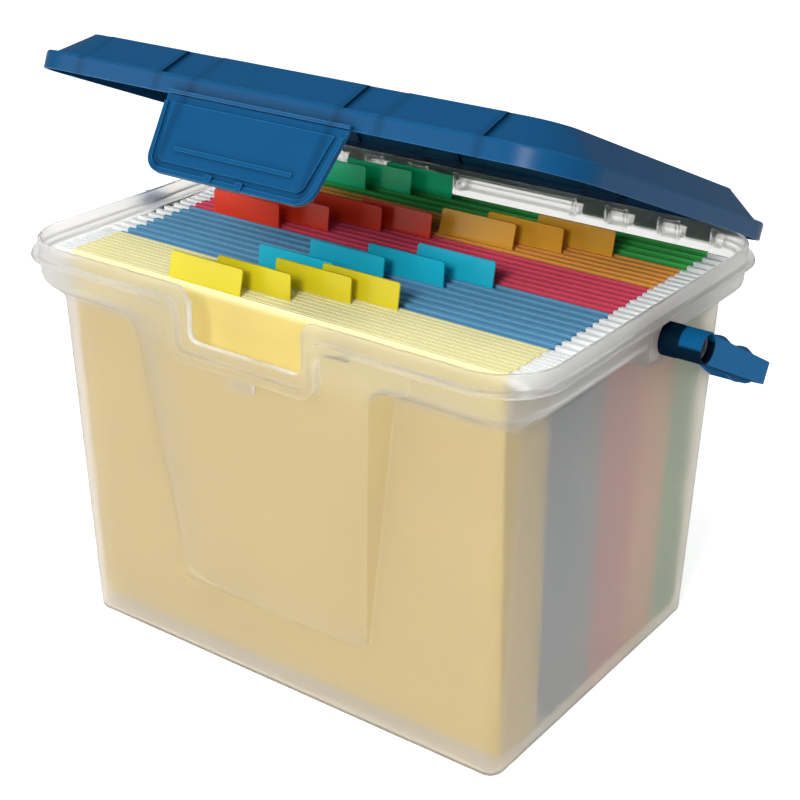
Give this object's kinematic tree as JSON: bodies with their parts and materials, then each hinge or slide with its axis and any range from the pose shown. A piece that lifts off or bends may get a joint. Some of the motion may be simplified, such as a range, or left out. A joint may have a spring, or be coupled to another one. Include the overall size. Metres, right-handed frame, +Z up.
{
  "type": "portable file box",
  "caption": "Portable file box: frosted moulded tub with a front notch, hinged blue lid with latch flap, swing handle, and coloured hanging folders with index tabs.",
  "frame": {"origin": "centre of the tub's flat base, where the box stands", "axes": "+X along the front to the viewer's right, -Y out of the front, +Z up"},
  "size_m": [0.3982, 0.2886, 0.3601],
  "materials": {
    "frosted_plastic": "satin",
    "blue_plastic": "satin",
    "rod_coating": "satin",
    "card_yellow": "matte",
    "tab_yellow": "gloss",
    "card_blue": "matte",
    "tab_blue": "gloss",
    "card_red": "matte",
    "tab_red": "gloss",
    "card_orange": "matte",
    "tab_orange": "gloss",
    "card_green": "matte",
    "tab_green": "gloss"
  },
  "bodies": {
    "tub": {"tub": "frosted_plastic"},
    "lid": {"lid": "blue_plastic"},
    "flap": {"lid_flap": "blue_plastic"},
    "handle": {"bail_handle": "blue_plastic"},
    "files": {"folders_yellow": "card_yellow", "folders_blue": "card_blue", "folders_red": "card_red", "folders_orange": "card_orange", "folders_green": "card_green", "rods_yellow": "rod_coating", "rods_blue": "rod_coating", "rods_red": "rod_coating", "rods_orange": "rod_coating", "rods_green": "rod_coating", "tabs_yellow": "tab_yellow", "tabs_blue": "tab_blue", "tabs_red": "tab_red", "tabs_orange": "tab_orange", "tabs_green": "tab_green"}
  },
  "joints": [
    {"name": "lid_hinge", "type": "hinge", "parent": "tub", "child": "lid", "pos_m": [0, 0.139, 0.238], "axis": [-1, 0, 0], "range_deg": [-22.5, 80]},
    {"name": "flap_hinge", "type": "hinge", "parent": "lid", "child": "flap", "pos_m": [0, -0.11616, 0.34477], "axis": [-1, 0, 0], "range_deg": [-15.7, 75]},
    {"name": "handle_pivot", "type": "hinge", "parent": "tub", "child": "handle", "pos_m": [0, 0.008, 0.2258], "axis": [1, 0, 0], "range_deg": [-9.5, 117]},
    {"name": "files_slide", "type": "slide", "parent": "tub", "child": "files", "axis": [0, 1, 0], "range_m": [-0.002, 0.003]}
  ]
}
